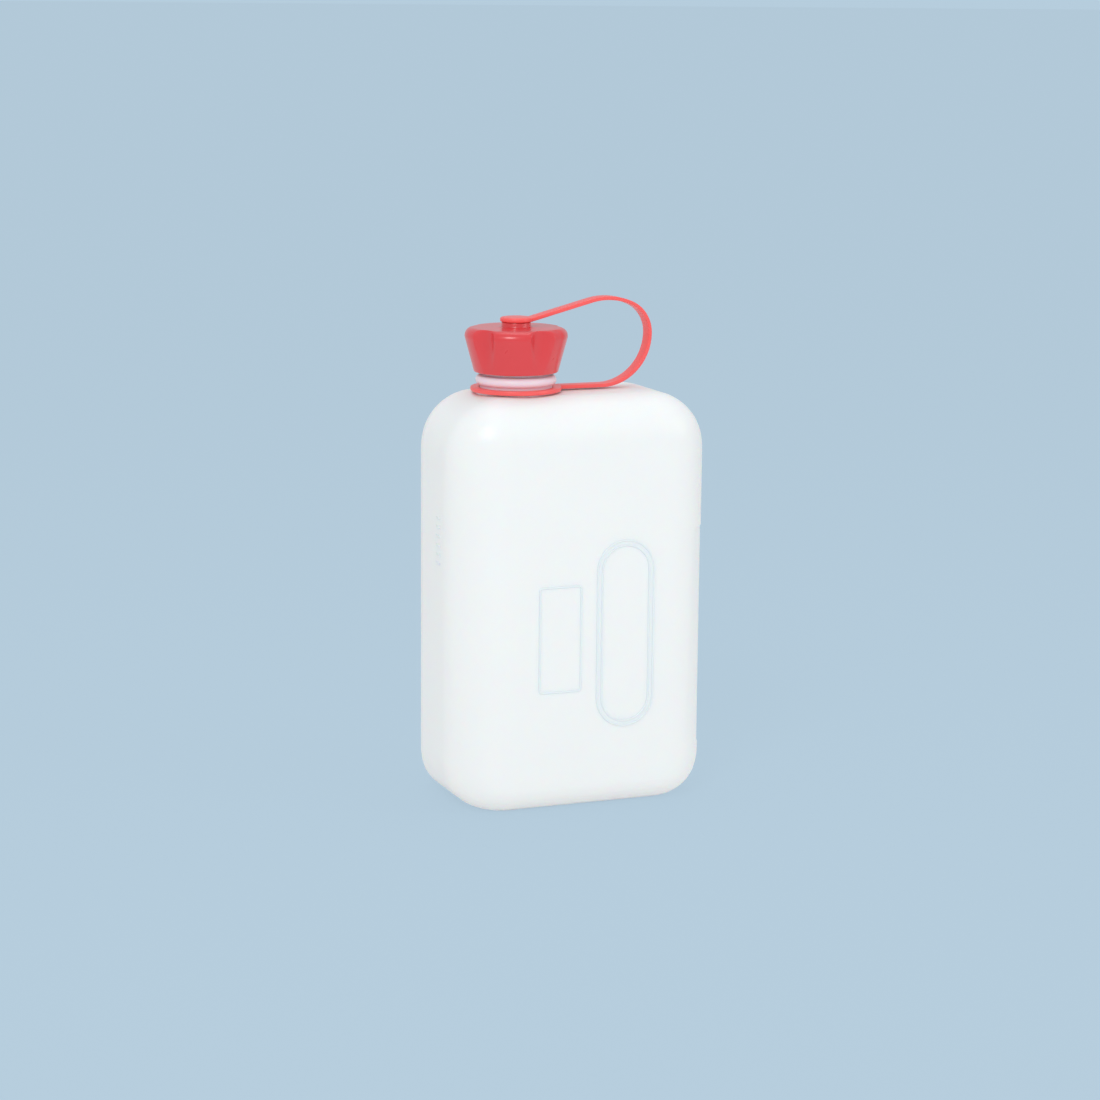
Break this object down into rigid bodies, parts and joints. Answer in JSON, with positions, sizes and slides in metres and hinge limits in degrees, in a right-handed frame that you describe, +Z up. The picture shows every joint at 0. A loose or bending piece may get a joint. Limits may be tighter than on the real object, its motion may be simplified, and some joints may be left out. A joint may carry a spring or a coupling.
{
  "type": "camping fuel bottle",
  "caption": "Flat blow-moulded plastic fuel bottle with a side-set neck, a lobed screw cap with a liner, and a looped retaining strap.",
  "frame": {"origin": "middle of the footprint at standing level", "axes": "+Z up the bottle, -Y is the front face, the neck is set towards -X"},
  "size_m": [0.1504, 0.0864, 0.2768],
  "materials": {
    "bottle_plastic": "translucent natural polyethylene, satin",
    "cap_plastic": "red polyethylene, semi-gloss",
    "strap_plastic": "light red flexible polyethylene, satin",
    "liner_foam": "pale foamed polyethylene, dull"
  },
  "bodies": {
    "bottle": {"bottle": "bottle_plastic"},
    "liner": {"cap_liner": "liner_foam"},
    "cap": {"cap": "cap_plastic"},
    "neck_ring": {"neck_ring": "strap_plastic", "strap_band": "strap_plastic"},
    "strap_eye": {"strap_eye": "strap_plastic"}
  },
  "joints": [
    {"name": "cap_lift", "type": "slide", "parent": "bottle", "child": "liner", "axis": [0, 0, 1], "range_m": [0, 0.008]},
    {"name": "cap_turn", "type": "hinge", "parent": "liner", "child": "cap", "pos_m": [-0.0272, 0, 0.2373], "axis": [0, 0, 1], "range_deg": [0, 720]},
    {"name": "strap_swivel", "type": "hinge", "parent": "bottle", "child": "neck_ring", "pos_m": [-0.0272, 0, 0.228], "axis": [0, 0, 1], "continuous": true},
    {"name": "eye_lift", "type": "slide", "parent": "neck_ring", "child": "strap_eye", "axis": [0, 0, 1], "range_m": [0, 0.008], "deforming": ["strap_band"]}
  ],
  "couplings": [
    {"joint": "cap_lift", "follows": "cap_turn", "m_per_rad": 0.00063661},
    {"joint": "eye_lift", "follows": "cap_turn", "m_per_rad": 0.00063661}
  ]
}
